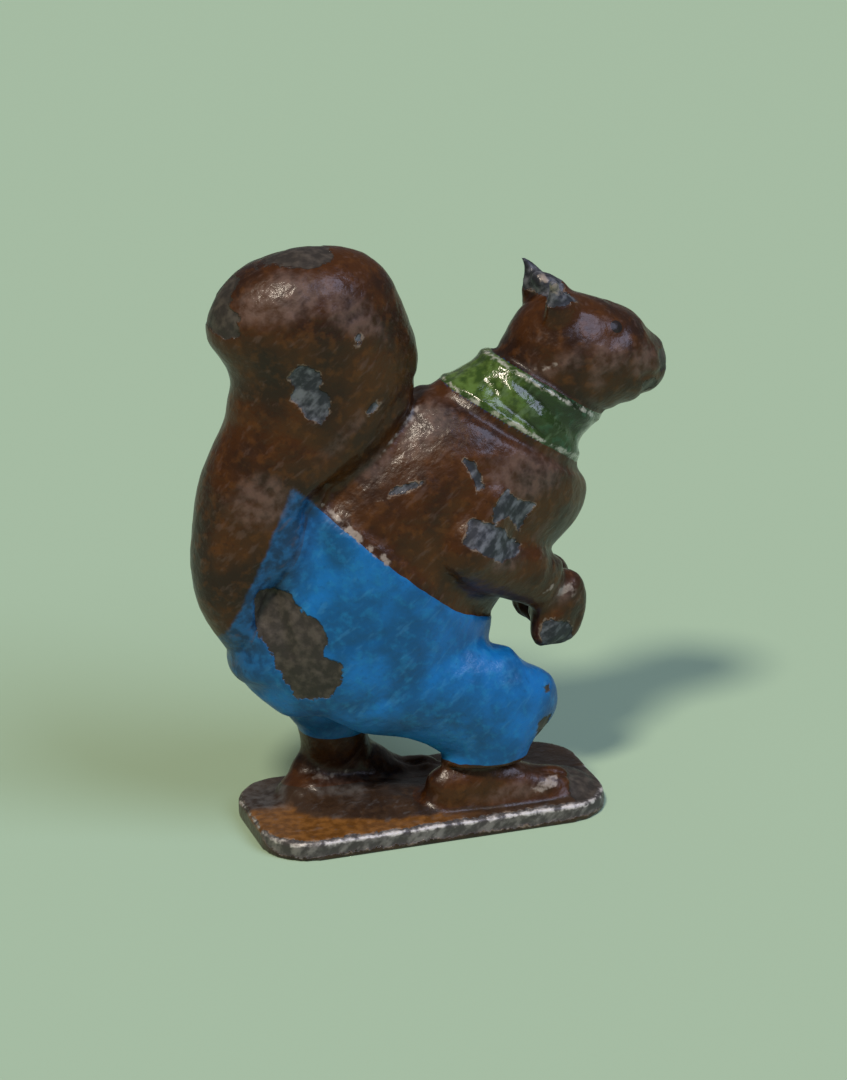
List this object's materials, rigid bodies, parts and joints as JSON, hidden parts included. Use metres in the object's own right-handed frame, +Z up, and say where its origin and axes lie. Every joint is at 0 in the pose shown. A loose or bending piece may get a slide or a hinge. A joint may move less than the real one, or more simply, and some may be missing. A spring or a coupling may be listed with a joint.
{
  "type": "squirrel figurine",
  "caption": "Small cast lead squirrel in trousers and a neckerchief, standing on a thin slab, in worn brown, blue and green enamel",
  "frame": {"origin": "middle of the slab's flat underside, where the figurine stands", "axes": "+X is the way the squirrel faces, +Y its left side, +Z up"},
  "size_m": [0.031, 0.0122, 0.0379],
  "materials": {
    "base_enamel": "satin",
    "brown_enamel": "gloss",
    "blue_enamel": "satin",
    "green_enamel": "gloss",
    "dark_enamel": "gloss"
  },
  "bodies": {
    "root": {"base": "base_enamel", "right_foot": "brown_enamel", "left_foot": "brown_enamel", "torso": "brown_enamel", "head": "brown_enamel", "right_ear": "brown_enamel", "left_ear": "brown_enamel", "right_arm": "brown_enamel", "left_arm": "brown_enamel", "right_paw": "brown_enamel", "left_paw": "brown_enamel", "tail": "brown_enamel", "trousers_seat": "blue_enamel", "right_trouser_leg": "blue_enamel", "left_trouser_leg": "blue_enamel", "neckerchief": "green_enamel", "nose": "dark_enamel", "right_eye": "dark_enamel", "left_eye": "dark_enamel"}
  },
  "joints": []
}
